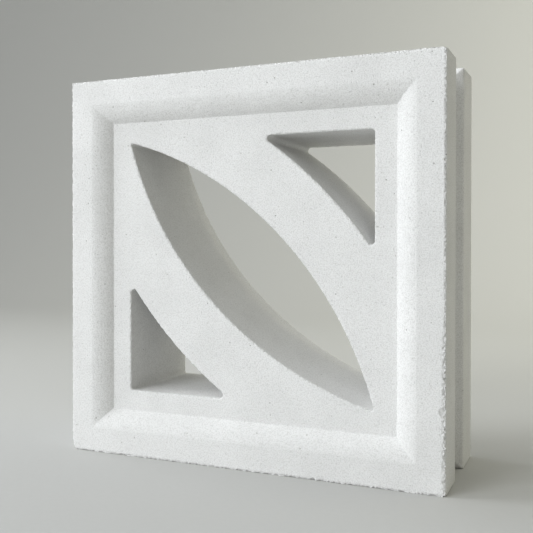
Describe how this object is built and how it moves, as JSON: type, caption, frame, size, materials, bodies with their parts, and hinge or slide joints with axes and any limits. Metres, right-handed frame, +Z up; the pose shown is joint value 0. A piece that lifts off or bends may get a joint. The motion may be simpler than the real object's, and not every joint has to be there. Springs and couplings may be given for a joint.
{
  "type": "screen wall block",
  "caption": "Square white concrete screen block with a rounded border, a recessed panel pierced by a leaf and curved triangles, and a mortar groove round its edges.",
  "frame": {"origin": "middle of the bottom face, on the floor that the block stands on", "axes": "+Z up, +Y from the front face to the back face along the depth, +X to the right as seen from the front"},
  "size_m": [0.29, 0.11, 0.29],
  "materials": {
    "cast_concrete": "matt fine-sand casting"
  },
  "bodies": {
    "root": {"screen_block": "cast_concrete"}
  },
  "joints": []
}
